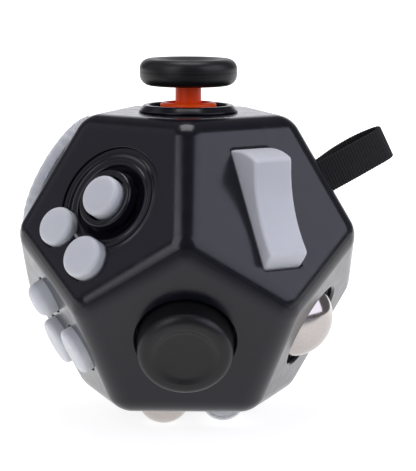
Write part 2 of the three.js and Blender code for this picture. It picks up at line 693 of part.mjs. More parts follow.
const FIFTHS = [0, 72, 144, 216, 288];
const UPPER_BELT = FIFTHS.map((az) => ringPoint(BELT_RADIUS, BELT_HEIGHT, az));
const LOWER_BELT = FIFTHS.map((az) => ringPoint(BELT_RADIUS, -BELT_HEIGHT, az + 36));
const CORNERS = [
  ...FIFTHS.map((az) => ringPoint(CAP_RADIUS, INRADIUS, az)), ...UPPER_BELT,
  ...LOWER_BELT, ...FIFTHS.map((az) => ringPoint(CAP_RADIUS, -INRADIUS, az + 36)),
];

// The case's outside: round balls in the corners of a smaller dodecahedron, and their hull.
function roundedBody(steps) {
  const normals = Object.values(FACES).map((face) => new THREE.Vector3(0, 0, 1)
    .applyQuaternion(face.quaternion));
  const shrink = 1 - EDGE_ROUND / INRADIUS;
  const points = [];
  for (const corner of CORNERS) {
    const meeting = normals.toSorted((p, q) => q.dot(corner) - p.dot(corner)).slice(0, 3);
    for (let i = 0; i <= steps; i += 1) {
      for (let j = 0; j <= steps - i; j += 1) {
        const direction = new THREE.Vector3()
          .addScaledVector(meeting[0], i).addScaledVector(meeting[1], j)
          .addScaledVector(meeting[2], steps - i - j).normalize();
        points.push(direction.multiplyScalar(EDGE_ROUND).addScaledVector(corner, shrink));
      }
    }
  }
  return new ConvexGeometry(points);
}

// Everything above (or below) the zigzag of edges round the middle, moved off it by half a seam.
function halfSpace(side) {
  const reach = 1.6;
  const zigzag = FIFTHS.flatMap((_, i) => [UPPER_BELT[i], LOWER_BELT[i]])
    .map((corner) => corner.clone().multiplyScalar(reach));
  const tip = new THREE.Vector3(0, 0, side * 4 * INRADIUS);
  const middle = new THREE.Vector3();
  const triangles = zigzag.flatMap((corner, i) => {
    const next = zigzag[(i + 1) % zigzag.length];
    return [middle, next, corner, tip, corner, next];
  });
  const geometry = new THREE.BufferGeometry().setFromPoints(triangles);
  return solid(geometry.translate(0, 0, side * SEAM / 2 + INRADIUS));
}

function makeCase() {
  const toPlace = (geometry) => solid(geometry.translate(0, 0, INRADIUS));
  const inner = (INRADIUS - WALL) / INRADIUS;
  const outside = toPlace(roundedBody(2));
  const inside = toPlace(new ConvexGeometry(
    CORNERS.map((corner) => corner.clone().multiplyScalar(inner)),
  ));
  const walls = join(cut(outside, inside), ...bosses.map((body) => body.intersect(outside)));
  const shell = cut(walls, ...openings);
  add('upper_shell', shell.intersect(halfSpace(1)), BLACK);
  add('lower_shell', shell.intersect(halfSpace(-1)), BLACK);
}

makeStick();
makePad();
makeRocker();
makePress();
makeClick();
makeBall();
makeDial();
makeStrap();
makeSlider();
makeStone();
makeSpin();
makeBase();
makeCase();

export default part;
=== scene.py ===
"""The looks of a twelve-sided fidget cube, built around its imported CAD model.

Each face of the case has a frame of its own: +Z out of the face, +Y up it, +X level across it, in
millimetres from the face's centre. Pieces are modelled there and then placed in metres.
"""

import json
import math

import bmesh
import bpy
from mathutils import Matrix, Vector


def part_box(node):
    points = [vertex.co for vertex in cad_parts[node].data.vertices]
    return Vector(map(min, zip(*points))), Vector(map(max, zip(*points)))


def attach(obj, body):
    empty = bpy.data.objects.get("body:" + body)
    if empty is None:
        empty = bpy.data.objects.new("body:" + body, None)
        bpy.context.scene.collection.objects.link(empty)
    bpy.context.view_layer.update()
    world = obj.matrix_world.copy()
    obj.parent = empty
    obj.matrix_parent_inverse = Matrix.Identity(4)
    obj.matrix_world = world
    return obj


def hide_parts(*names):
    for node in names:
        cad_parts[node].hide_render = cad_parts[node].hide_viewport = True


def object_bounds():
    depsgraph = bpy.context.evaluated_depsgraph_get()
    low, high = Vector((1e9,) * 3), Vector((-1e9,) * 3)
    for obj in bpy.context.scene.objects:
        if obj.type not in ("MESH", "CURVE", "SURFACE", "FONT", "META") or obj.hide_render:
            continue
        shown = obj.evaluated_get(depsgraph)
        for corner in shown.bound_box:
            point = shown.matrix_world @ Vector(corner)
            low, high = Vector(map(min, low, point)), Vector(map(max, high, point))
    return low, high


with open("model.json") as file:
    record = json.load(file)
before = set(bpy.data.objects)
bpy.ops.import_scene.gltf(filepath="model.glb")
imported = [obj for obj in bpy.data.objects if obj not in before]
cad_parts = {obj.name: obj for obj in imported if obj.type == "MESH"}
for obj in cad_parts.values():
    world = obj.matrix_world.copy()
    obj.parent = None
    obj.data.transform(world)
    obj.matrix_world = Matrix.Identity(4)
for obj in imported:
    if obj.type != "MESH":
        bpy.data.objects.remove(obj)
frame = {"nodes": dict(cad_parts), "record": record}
cad_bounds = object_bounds()
RECORD = frame["record"]

# ---------------------------------------------------------------- driving dimensions, in millimetres

MM = 0.001
FLATS = (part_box("upper_shell")[1][2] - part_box("lower_shell")[0][2]) / MM   # bottom face to top face
INRADIUS = FLATS / 2
GOLDEN = (1 + math.sqrt(5)) / 2
EDGE = INRADIUS * 2 * math.sqrt(3 - GOLDEN) / GOLDEN ** 2   # of the solid with sharp edges
CAP_RADIUS = EDGE / (2 * math.sin(math.radians(36)))        # corners of the top and bottom faces
BELT_RADIUS = GOLDEN * CAP_RADIUS                           # corners of the zigzag round the middle
BELT_HEIGHT = math.sqrt(CAP_RADIUS ** 2 + INRADIUS ** 2 - BELT_RADIUS ** 2)
FACE_SLOPE = math.degrees(math.atan(0.5))
EDGE_ROUND = 4.2
WALL = 2.0
SEAM = 0.045                   # gap between the two halves of the case
PLAY = 0.3                     # gap round a moving piece
LIP = 0.3                      # rounding on the case's hole edges

STICK = dict(skirt=4.22, skirt_top=1.45, stem=1.93, cap=7.22, cap_low=3.93, cap_high=7.96,
             bezel=7.4, mouth=5.87, bezel_high=1.1, hole=7.05)
PAD = dict(x=0.25, y=0.4, groove=8.35, collar=4.4, collar_high=1.4, cap=3.05, cap_high=2.7)
ROCKER = dict(x=0.0, y=-0.5, depth=3.0, width=6.6, slot_x=7.1, slot_y=18.8, arc=9.5, shoulder=6.6,
              sag=1.25, tilt=9.9)
PRESS = dict(hole=7.12, r=6.82, high=4.0, dish=3.3)
BALL = dict(r=6.0, depth=3.2, hole=6.45, seat=5.78)
DIAL = dict(y=1.1, r=10.0, low=0.3, high=2.3, ribs=32)
STRAP = dict(y=0.4, width=5.15, thick=0.55, rib=0.46, slot_x=2.2, slot_y=6.0)
STONE = dict(r=8.6, dish=1.5)
SPIN = dict(r=8.2, low=0.3, high=2.0)
SMALL_BALL = dict(x=-3.4, y=5.5, r=4.0, depth=1.15)
WHEEL = dict(x=5.4, r=3.25, depth=1.15, wide=2.6, rows=(6.3, 3.3, 0.3))
CLICK_BUTTONS = (              # x, y, r, high and edge rounding
    (0.8, 5.2, 2.65, 2.6, 1.5), (-4.6, -3.1, 3.6, 1.8, 0.8), (5.4, -2.9, 3.5, 1.7, 0.8),
)
PAD_BUTTONS = (2.9, 3.12)      # radii of the two buttons beside the glide pad
PAD_HIGH = (1.1, 1.7)          # their heights
PAD_RING = 9.0                 # their distance from the pad's middle
PAD_ANGLES = (-122.5 - 26.3, -122.5 + 26.3)


def face_matrix(azimuth, slope):
    """The frame of a face, from its own millimetres to metres."""
    az, el = math.radians(azimuth), math.radians(slope)
    out = Vector((math.sin(az) * math.cos(el), -math.cos(az) * math.cos(el), math.sin(el)))
    level = Vector((math.cos(az), math.sin(az), 0))
    centre = out * INRADIUS + Vector((0, 0, INRADIUS))
    turn = Matrix((level, out.cross(level), out)).transposed().to_4x4()
    return Matrix.Scale(MM, 4) @ Matrix.Translation(centre) @ turn


FACES = {
    "stick": (0, 90), "pad": (-36, FACE_SLOPE), "rocker": (36, FACE_SLOPE), "dial": (-108, FACE_SLOPE),
    "strap": (108, FACE_SLOPE), "slider": (180, FACE_SLOPE), "press": (0, -FACE_SLOPE),
    "click": (-72, -FACE_SLOPE), "ball": (72, -FACE_SLOPE), "stone": (144, -FACE_SLOPE),
    "spin": (-144, -FACE_SLOPE), "base": (0, -90),
}
PLACE = {name: face_matrix(*angles) for name, angles in FACES.items()}

# ---------------------------------------------------------------- outlines


def arc(x, y, r, start, stop, steps=12):
    """Points of an arc, angles in degrees."""
    angles = [math.radians(start + (stop - start) * i / steps) for i in range(steps + 1)]
    return [(x + r * math.cos(a), y + r * math.sin(a)) for a in angles]


def filleted(corners, closed=False, step=12):
    """The outline through (x, y) or (x, y, fillet) corners, with an arc of points at each fillet."""
    outline = []
    for i, corner in enumerate(corners):
        here = Vector(corner[:2])
        radius = corner[2] if len(corner) > 2 else 0
        if not radius or (not closed and i in (0, len(corners) - 1)):
            outline.append(tuple(here))
            continue
        back = (Vector(corners[i - 1][:2]) - here).normalized()
        ahead = (Vector(corners[(i + 1) % len(corners)][:2]) - here).normalized()
        half = back.angle(ahead) / 2
        centre = here + (back + ahead).normalized() * radius / math.sin(half)
        first = here + back * radius / math.tan(half) - centre
        sweep = math.pi - 2 * half
        sign = 1 if back.x * ahead.y - back.y * ahead.x < 0 else -1
        count = max(2, round(math.degrees(sweep) / step))
        for k in range(count + 1):
            angle = sign * sweep * k / count
            turned = Vector((first.x * math.cos(angle) - first.y * math.sin(angle),
                             first.x * math.sin(angle) + first.y * math.cos(angle)))
            outline.append(tuple(centre + turned))
    return outline


def rounded_rectangle(x, y, corner, steps=8):
    """A rectangle's outline with half sizes x and y and round corners."""
    corner = max(min(corner, x, y), 0.01)
    points = []
    for sign_x, sign_y, start in ((1, 1, 0), (-1, 1, 90), (-1, -1, 180), (1, -1, 270)):
        points += arc(sign_x * (x - corner), sign_y * (y - corner), corner, start, start + 90, steps)
    return points


# ---------------------------------------------------------------- meshes


def lathe(profile, x=0.0, y=0.0, sides=128, closed=False, wobble=None):
    """A profile of (radius, height) points turned about Z. wobble(angle, r, z) may change the radius."""
    mesh = bmesh.new()
    rings = []
    for r, z in profile:
        if r < 1e-6:
            rings.append([mesh.verts.new((x, y, z))])
            continue
        ring = []
        for i in range(sides):
            angle = 2 * math.pi * i / sides
            reach = wobble(angle, r, z) if wobble else r
            ring.append(mesh.verts.new((x + reach * math.cos(angle), y + reach * math.sin(angle), z)))
        rings.append(ring)
    pairs = list(zip(rings, rings[1:])) + ([(rings[-1], rings[0])] if closed else [])
    for low, high in pairs:
        for i in range(sides):
            j = (i + 1) % sides
            corners = [low[i % len(low)], low[j % len(low)], high[j % len(high)], high[i % len(high)]]
            mesh.faces.new(list(dict.fromkeys(corners)))
    bmesh.ops.recalc_face_normals(mesh, faces=mesh.faces)
    return mesh


def loft(rings):
    """Closed rings of (x, y, z) points, each with as many points as the last, skinned in order."""
    mesh = bmesh.new()
    rows = [[mesh.verts.new(point) for point in ring] for ring in rings]
    for low, high in zip(rows, rows[1:]):
        for i in range(len(low)):
            j = (i + 1) % len(low)
            mesh.faces.new((low[i], low[j], high[j], high[i]))
    mesh.faces.new(rows[0])
    mesh.faces.new(rows[-1])
    bmesh.ops.recalc_face_normals(mesh, faces=mesh.faces)
    return mesh


def extruded(outline, low, high):
    """A flat outline drawn out along Z."""
    return loft([[(x, y, z) for x, y in outline] for z in (low, high)])


def cushion(x, y, low, high, corner, round_low, round_high):
    """A block with round upright corners, and rounded lower and upper edges."""
    rings = []
    corners = ((round_low, low + round_low, -90, 0), (round_high, high - round_high, 0, 90))
    for radius, centre, start, stop in corners:
        for across, z in arc(0, centre, max(radius, 1e-3), start, stop, 6):
            inset = max(radius, 1e-3) - across
            outline = rounded_rectangle(x - inset, y - inset, corner - inset)
            rings.append([(px, py, z) for px, py in outline])
    return loft(rings)


def joined(*meshes):
    """Several meshes as one, overlapping where they meet."""
    whole = bmesh.new()
    for mesh in meshes:
        data = bpy.data.meshes.new("part")
        mesh.to_mesh(data)
        mesh.free()
        whole.from_mesh(data)
        bpy.data.meshes.remove(data)
    return whole


def as_object(mesh, name, place=None):
    """Puts a mesh in the scene, moved by a matrix first if there is one."""
    if place is not None:
        mesh.transform(place)
    data = bpy.data.meshes.new(name)
    mesh.to_mesh(data)
    mesh.free()
    thing = bpy.data.objects.new(name, data)
    bpy.context.scene.collection.objects.link(thing)
    return thing


def settle(thing):
    """Applies an object's modifiers."""
    bpy.context.view_layer.update()
    graph = bpy.context.evaluated_depsgraph_get()
    data = bpy.data.meshes.new_from_object(thing.evaluated_get(graph), preserve_all_data_layers=True,
                                           depsgraph=graph)
    old = thing.data
    thing.modifiers.clear()
    thing.data = data
    bpy.data.meshes.remove(old)


def combine(thing, others, operation="DIFFERENCE"):
    """Cuts, joins or intersects an object with each of the others, which are used up."""
    for other in others:
        step = thing.modifiers.new("step", "BOOLEAN")
        step.operation = operation
        step.solver = "EXACT"
        step.object = other
    settle(thing)
    for other in others:
        data = other.data
        bpy.data.objects.remove(other)
        bpy.data.meshes.remove(data)


def shade(thing, sharp=32):
    """Smooth shading with creases over the given angle, and flat faces kept flat up to their rims."""
    thing.data.shade_smooth()
    thing.data.set_sharp_from_angle(angle=math.radians(sharp))
    even = thing.modifiers.new("even", "WEIGHTED_NORMAL")
    even.keep_sharp = True
    even.weight = 80
    settle(thing)


def bevelled(thing, width, segments=4, angle=35):
    edge = thing.modifiers.new("bevel", "BEVEL")
    edge.width = width
    edge.segments = segments
    edge.limit_method = "ANGLE"
    edge.angle_limit = math.radians(angle)
    settle(thing)


# ---------------------------------------------------------------- materials


class Nodes:
    """A material's node tree, with short calls for the nodes used here."""

    def __init__(self, name):
        self.material = bpy.data.materials.new(name)
        self.material.use_nodes = True
        self.tree = self.material.node_tree
        self.shader = self.tree.nodes["Principled BSDF"]
        self.place = self.add("ShaderNodeTexCoord").outputs["Object"]

    def add(self, kind, **values):
        node = self.tree.nodes.new(kind)
        for key, value in values.items():
            setattr(node, key, value)
        return node

    def link(self, source, target):
        self.tree.links.new(source, target)

    def set(self, **values):
        for key, value in values.items():
            self.shader.inputs[key.replace("_", " ")].default_value = value

    def noise(self, scale, detail):
        node = self.add("ShaderNodeTexNoise")
        node.inputs["Scale"].default_value = scale
        node.inputs["Detail"].default_value = detail
        self.link(self.place, node.inputs["Vector"])
        return node.outputs["Fac"]

    def spread(self, source, low, high, start=0.3, stop=0.7):
        """Maps a factor from start..stop to low..high."""
        node = self.add("ShaderNodeMapRange")
        for key, value in zip(("From Min", "From Max", "To Min", "To Max"), (start, stop, low, high)):
            node.inputs[key].default_value = value
        self.link(source, node.inputs["Value"])
        return node.outputs["Result"]

    def mix(self, factor, first, second):
        node = self.add("ShaderNodeMix", data_type="RGBA")
        node.inputs["A"].default_value = (*first, 1)
        node.inputs["B"].default_value = (*second, 1)
        self.link(factor, node.inputs["Factor"])
        return node.outputs["Result"]

    def bump(self, source, distance, under=None):
        """Relief of the given depth in metres, on top of another relief if there is one."""
        node = self.add("ShaderNodeBump")
        node.inputs["Distance"].default_value = distance
        node.inputs["Strength"].default_value = 1.0
        self.link(source, node.inputs["Height"])
        if under is not None:
            self.link(under, node.inputs["Normal"])
        return node.outputs["Normal"]


def moulded(name, dark, light, roughness, grain=0.0000015, grain_scale=9000, **values):
    """Moulded plastic or rubber: faint flow clouds, a fine skin texture and an uneven gloss."""
    nodes = Nodes(name)
    color = nodes.mix(nodes.spread(nodes.noise(140, 4), 0, 1), dark, light)
    nodes.link(color, nodes.shader.inputs["Base Color"])
    uneven = 0.04
    gloss = nodes.spread(nodes.noise(420, 5), roughness - uneven, roughness + uneven)
    nodes.link(gloss, nodes.shader.inputs["Roughness"])
    nodes.link(nodes.bump(nodes.noise(grain_scale, 2), grain), nodes.shader.inputs["Normal"])
    nodes.set(**values)
    return nodes.material


def metal(name, color, roughness):
    """Bare metal with fine polishing marks."""
    nodes = Nodes(name)
    marks = nodes.noise(2500, 4)
    worn = [c * 0.93 for c in color]
    nodes.link(nodes.mix(nodes.spread(marks, 0, 1), worn, color), nodes.shader.inputs["Base Color"])
    nodes.link(nodes.spread(marks, roughness * 0.7, roughness * 1.4), nodes.shader.inputs["Roughness"])
    nodes.link(nodes.bump(marks, 0.000001), nodes.shader.inputs["Normal"])
    nodes.set(Metallic=1.0)
    return nodes.material


def woven(name, dark, light):
    """Black nylon webbing: fine yarns over the modelled ribs."""
    nodes = Nodes(name)
    yarn = nodes.noise(5200, 2)
    fuzz = nodes.noise(14000, 2)
    nodes.link(nodes.mix(nodes.spread(yarn, 0, 1), dark, light), nodes.shader.inputs["Base Color"])
    nodes.link(nodes.spread(fuzz, 0.7, 0.95), nodes.shader.inputs["Roughness"])
    nodes.link(nodes.bump(fuzz, 0.00002, under=nodes.bump(yarn, 0.00004)), nodes.shader.inputs["Normal"])
    nodes.set(Sheen_Weight=0.07, Sheen_Roughness=0.4)
    return nodes.material


MATERIALS = {
    "case_black": moulded("case_plastic", (0.0044, 0.0043, 0.0086), (0.0056, 0.0055, 0.0104), 0.2,
                          Specular_IOR_Level=0.43),
    "button_grey": moulded("button_plastic", (0.615, 0.63, 0.66), (0.645, 0.66, 0.69), 0.4,
                           Subsurface_Weight=0.8, Subsurface_Radius=(1.2, 1.1, 1.0),
                           Subsurface_Scale=0.0011,
                           Sheen_Weight=0.22, Sheen_Roughness=0.4),
    # the stem's plastic carries a faint painted glow: an orange emission that lightens it as light would,
    # though it is no lamp
    "stem_orange": moulded("stem_plastic_painted_glow", (0.96, 0.07, 0.003), (1.0, 0.088, 0.004), 0.36,
                           Specular_IOR_Level=0.28, Emission_Color=(1.0, 0.09, 0.01, 1),
                           Emission_Strength=0.05),
    "black_rubber": moulded("rubber", (0.0055, 0.0055, 0.006), (0.0075, 0.0075, 0.008), 0.38,
                            grain=0.000002, grain_scale=7000, Specular_IOR_Level=0.36),
    "polished_steel": metal("polished_steel", (0.56, 0.515, 0.495), 0.12),
    "spring_steel": metal("spring_steel", (0.46, 0.46, 0.47), 0.3),
    "black_webbing": woven("webbing", (0.0035, 0.0035, 0.004), (0.0105, 0.0105, 0.0115)),
    "inner_bracket": moulded("bracket_plastic", (0.56, 0.55, 0.52), (0.64, 0.63, 0.6), 0.5),
}
SLOT_OF = {part["node"]: part["material_slot"] for part in RECORD["subparts"]}
BODY_OF = {node: body for body, nodes in RECORD["behaviour"]["bodies"].items() for node in nodes}


def dress(thing, node):
    """The object takes a CAD node's place, body and material slot."""
    thing.data.materials.clear()
    thing.data.materials.append(MATERIALS[SLOT_OF[node]])
    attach(thing, BODY_OF[node])
    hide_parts(node)


def piece(node, mesh, face, sharp=32, bevel=0.0):
    """A mesh in a face's frame as the visible form of a CAD node."""
    thing = as_object(mesh, "fine_" + node, PLACE[face])
    if bevel:
        bevelled(thing, bevel * MM)
    shade(thing, sharp)
    dress(thing, node)
    return thing


# ---------------------------------------------------------------- case


def ring_point(radius, height, azimuth):
    az = math.radians(azimuth)
    return Vector((radius * math.sin(az), -radius * math.cos(az), height))


FIFTHS = (0, 72, 144, 216, 288)
UPPER_BELT = [ring_point(BELT_RADIUS, BELT_HEIGHT, az) for az in FIFTHS]
LOWER_BELT = [ring_point(BELT_RADIUS, -BELT_HEIGHT, az + 36) for az in FIFTHS]
CORNERS = ([ring_point(CAP_RADIUS, INRADIUS, az) for az in FIFTHS] + UPPER_BELT + LOWER_BELT
           + [ring_point(CAP_RADIUS, -INRADIUS, az + 36) for az in FIFTHS])
MIDDLE = Matrix.Scale(MM, 4) @ Matrix.Translation((0, 0, INRADIUS))


def hull(points):
    """The convex hull of some points, with its flat faces whole."""
    mesh = bmesh.new()
    for point in points:
        mesh.verts.new(point)
    made = bmesh.ops.convex_hull(mesh, input=mesh.verts)
    bmesh.ops.delete(mesh, geom=made["geom_interior"], context="VERTS")
    bmesh.ops.dissolve_limit(mesh, angle_limit=math.radians(0.05), verts=mesh.verts, edges=mesh.edges)
    return mesh


def rounded_body(steps=10):
    """A dodecahedron with every edge and corner rounded, about its own middle."""
    normals = [PLACE[face].to_3x3().col[2].normalized() for face in FACES]
    shrink = 1 - EDGE_ROUND / INRADIUS
    points = []
    for corner in CORNERS:
        a, b, c = sorted(normals, key=lambda normal: -normal.dot(corner))[:3]
        for i in range(steps + 1):
            for j in range(steps + 1 - i):
                direction = (a * i + b * j + c * (steps - i - j)).normalized()
                points.append(corner * shrink + direction * EDGE_ROUND)
    return hull(points)


def half_space(side):
    """All that is above (side 1) or below (side -1) the zigzag of edges round the middle."""
    reach = 1.6
    mesh = bmesh.new()
    middle = mesh.verts.new((0, 0, side * SEAM / 2))
    tip = mesh.verts.new((0, 0, side * 4 * INRADIUS))
    ring = []
    for upper, lower in zip(UPPER_BELT, LOWER_BELT):
        for corner in (upper, lower):
            ring.append(mesh.verts.new(corner * reach + Vector((0, 0, side * SEAM / 2))))
    for i, corner in enumerate(ring):
        following = ring[(i + 1) % len(ring)]
        mesh.faces.new((middle, following, corner))
        mesh.faces.new((tip, corner, following))
    bmesh.ops.recalc_face_normals(mesh, faces=mesh.faces)
    return mesh


def hole(r, depth=WALL + 1.2, lip=LIP, top=3.0):
    """The profile that cuts a round hole with a rounded edge."""
    rim = r + lip + 0.4
    edge = arc(r + lip, -lip, lip, 180, 94, 7)
    return [(0, -depth), (r, -depth), *edge, (rim, 0.06), (rim, top), (0, top)]


def slot_cutter(x, y, corner, depth=WALL + 1.2, lip=LIP):
    """Cuts a rectangular opening with half sizes x and y and rounded edges."""
    levels = [(0, -depth), *arc(lip, -lip, lip, 180, 94, 6), (lip + 0.4, 0.06), (lip + 0.4, 3)]
    return loft([[(px, py, z) for px, py in rounded_rectangle(x + out, y + out, corner + out)]
                 for out, z in levels])


def pad_button_places():
    """Middles of the two buttons beside the glide pad."""
    for angle in PAD_ANGLES:
        yield (PAD["x"] + PAD_RING * math.cos(math.radians(angle)),
               PAD["y"] + PAD_RING * math.sin(math.radians(angle)))


def bowl_profile():
    """Groove, lip, shallow dish, a fine ridge and the deep middle of the glide pad's bowl."""
    g = PAD["groove"]
    corners = [
        (0, -5), (3.3, -5), (3.3, -1.25, 0.15), (4.7, -1.2, 0.8), (5.55, -0.62, 0.5), (5.7, -0.4, 0.2),
        (5.86, -0.34, 0.1), (6.15, -0.38, 0.08), (6.35, -0.5, 0.15), (6.85, -0.5, 0.4), (7.3, -0.12, 0.2),
        (7.62, -0.3, 0.14), (8.0, -0.26, 0.2), (g - 0.14, -0.26, 0.04), (g - 0.12, -0.42), (g - 0.03, -0.42),
        (g - 0.01, -0.05, 0.03), (g + 0.1, 0.04), (g + 0.1, 3.5), (0, 3.5),
    ]
    return filleted(corners)


def openings():
    """Every cutter of the case: (mesh, face)."""
    for (x, y), r in zip(pad_button_places(), PAD_BUTTONS):
        yield lathe(hole(r + 0.22, 5.2 + r / 10, 0.22, 3 + r / 10), x, y, sides=76), "pad"
    yield lathe(hole(STICK["hole"]), sides=96), "stick"
    yield lathe(bowl_profile(), PAD["x"], PAD["y"], sides=150), "pad"
    slot = slot_cutter(ROCKER["slot_x"] / 2 - LIP * 0.5, ROCKER["slot_y"] / 2 - LIP * 0.5, 0.5)
    slot.transform(Matrix.Translation((ROCKER["x"], ROCKER["y"], 0)))
    yield slot, "rocker"
    undercut = rounded_rectangle(ROCKER["slot_x"] / 2, ROCKER["slot_y"] / 2 + 0.45, 0.3)
    under = extruded(undercut, -4.2, -0.75)
    under.transform(Matrix.Translation((ROCKER["x"], ROCKER["y"], 0)))
    yield under, "rocker"
    yield lathe(hole(PRESS["hole"], lip=0.35), sides=112), "press"
    for x, y, r, _high, _edge in CLICK_BUTTONS:
        yield lathe(hole(r + PLAY, lip=0.2), x, y, sides=80), "click"
    seat = filleted([
        (0, 2), (BALL["hole"] + 0.45, 2), (BALL["hole"] + 0.45, 0.03), (BALL["hole"] + 0.3, -0.02, 0.1),
        (BALL["hole"], -0.3, 0.2), (BALL["hole"], -0.95, 0.1), (BALL["seat"], -1.1),
        (BALL["seat"] + 0.4, -2.1), (BALL["seat"] + 0.4, -3.2), (0, -3.2),
    ])
    yield lathe(seat, sides=112), "ball"
    yield lathe(hole(2.7), 0, DIAL["y"], sides=64), "dial"
    slot = slot_cutter(STRAP["slot_x"] / 2 - 0.1, STRAP["slot_y"] / 2 - 0.1, 0.4, 3.2, 0.2)
    slot.transform(Matrix.Translation((0, STRAP["y"], 0)))
    yield slot, "strap"
    yield slot_cutter(4.6, 1.5, 1.4, lip=0.25), "slider"
    yield lathe(hole(STONE["r"] + PLAY, lip=0.3), sides=112), "stone"
    yield lathe(hole(4.3), sides=64), "spin"
    seat = [(0, 1), (4.25, 1), (4.25, 0.02), *arc(4.27, -0.25, 0.25, 92, 180, 5), (4.25, -0.9),
            (4.3, -3.2), (0, -3.2)]
    yield lathe(seat, SMALL_BALL["x"], SMALL_BALL["y"], sides=96), "base"
    low, high = WHEEL["rows"][2] - WHEEL["wide"] / 2, WHEEL["rows"][0] + WHEEL["wide"] / 2
    slot = slot_cutter(WHEEL["r"] + 0.15, (high - low) / 2 + 0.4, 0.6, 3.2, 0.25)
    slot.transform(Matrix.Translation((WHEEL["x"], (low + high) / 2, 0)))
    yield slot, "base"
    for y in (low - 1.1, high + 1.1):
        notch = extruded(rounded_rectangle(0.9, 0.8, 0.1), -3.2, -0.25)
        notch.transform(Matrix.Translation((WHEEL["x"], y, 0)))
        yield notch, "base"


def make_case():
    cavity = as_object(hull([corner * (1 - WALL / INRADIUS) for corner in CORNERS]), "cavity", MIDDLE)
    wide = PAD["groove"] + 0.6
    boss = lathe([(0, -4), (wide, -4), (wide, 1), (0, 1)], PAD["x"], PAD["y"], 48)
    boss = as_object(boss, "boss", PLACE["pad"])
    combine(cavity, [boss])
    body = as_object(rounded_body(), "body", MIDDLE)
    cutters = [as_object(mesh, "cutter", PLACE[face]) for mesh, face in openings()]
    combine(body, [cavity] + cutters)
    for node, side in (("upper_shell", 1), ("lower_shell", -1)):
        half = bpy.data.objects.new("fine_" + node, body.data.copy())
        bpy.context.scene.collection.objects.link(half)
        combine(half, [as_object(half_space(side), "half", MIDDLE)], "INTERSECT")
        shade(half, 30)
        dress(half, node)
    data = body.data
    bpy.data.objects.remove(body)
    bpy.data.meshes.remove(data)


# ---------------------------------------------------------------- thumb stick


def make_stick():
    s = STICK
    top = s["bezel_high"]
    bezel = filleted([
        (s["bezel"] - 0.1, 0.04, 0.05), (s["bezel"], 0.24, 0.12), (6.62, top, 0.35), (s["mouth"], top, 0.3),
        (s["mouth"], 0.5, 0.1), (6.3, 0.25), (6.35, -2), (6.75, -2), (6.75, 0.04),
    ], closed=True)
    piece("stick_bezel", lathe(bezel, closed=True), "stick")
    low, high, r = s["cap_low"], s["cap_high"], s["cap"]
    middle = (low + high) / 2
    cap = filleted([
        (0, low + 0.25), (2.3, low + 0.25), (2.6, low, 0.15), (r - 0.02, low, 1.6), (r, middle - 0.06),
        (r - 0.045, middle - 0.03), (r - 0.045, middle + 0.03), (r, middle + 0.06), (r, high, 1.45),
        (5.0, high - 0.1, 1.0), (3.0, high - 0.72, 2.6), (0, high - 0.78),
    ])
    piece("stick_cap", lathe(cap), "stick", sharp=50)
    edge, rim = s["skirt_top"], s["skirt"]
    stem = filleted([
        (0, -6), (1.9, -6, 0.1), (1.9, -5.4), (1.5, -5.1), (1.5, -2.6), (2.6, -2.1), (3.6, -1),
        (rim - 0.15, 0.1, 0.3), (rim, edge, 0.42), (3.35, edge, 0.35), (2.85, edge - 0.8, 0.4),
        (s["stem"], edge - 0.85, 0.3), (s["stem"], 5.6), (0, 5.6),
    ])
    piece("stick_stem", lathe(stem, sides=96), "stick")


# ---------------------------------------------------------------- buttons and pads


def button_profile(r, high, foot, edge=0.75, low=-WALL - PLAY):
    """A round button with a rounded edge, and a foot under the case's wall that keeps it in."""
    return filleted([
        (0, low - 0.7), (r + foot, low - 0.7, 0.1), (r + foot, low, 0.1), (r, low), (r, high, edge),
        (r - edge * 1.6, high + 0.02, 1.0), (0, high + 0.03),
    ], step=9)


def make_pad():
    p = PAD
    collar, high = p["collar"], p["collar_high"]
    hub = filleted([
        (0, -5.9), (3.3, -5.9), (3.3, -5.2), (2, -5.2), (2, -1.02), (3.7, -1.02, 0.1),
        (3.8, -0.45, 0.1), (collar, -0.42, 0.1), (collar, 0.3, 0.5), (collar, high - 0.1, 0.45),
        (collar - 0.5, high, 0.1), (collar - 0.56, high - 0.12, 0.05), (3.5, high - 0.14, 0.15),
        (3.4, 1.0), (3.4, -0.9), (0, -0.9),
    ])
    piece("pad_hub", lathe(hub, p["x"], p["y"]), "pad")
    r, high = p["cap"], p["cap_high"]
    cap = filleted([(0, 0), (r, 0), (r, high, 0.75), (1.8, high + 0.02, 1), (0, high + 0.03)], step=9)
    piece("center_button", lathe(cap, p["x"], p["y"], 96), "pad")
    for (x, y), r, high, letter in zip(pad_button_places(), PAD_BUTTONS, PAD_HIGH, "ab"):
        piece("button_" + letter, lathe(button_profile(r, high, 0.5), x, y, 96), "pad")


def make_click():
    for i, (x, y, r, high, edge) in enumerate(CLICK_BUTTONS):
        piece(f"click_button_{i + 1}", lathe(button_profile(r, high, 0.6, edge), x, y, 96), "click")


def make_press():
    p = PRESS
    pad = filleted([
        (0, -3.6), (7.9, -3.6, 0.1), (7.9, -2.6), (7.5, -2.3), (p["r"] + 0.05, -2.3),
        (p["r"], p["high"], 1.35), (4.9, p["high"] - 0.02, 0.7), (3.9, p["dish"] + 0.08, 1.6),
        (0, p["dish"]),
    ], step=7)
    piece("press_pad", lathe(pad, sides=144), "press", sharp=50)


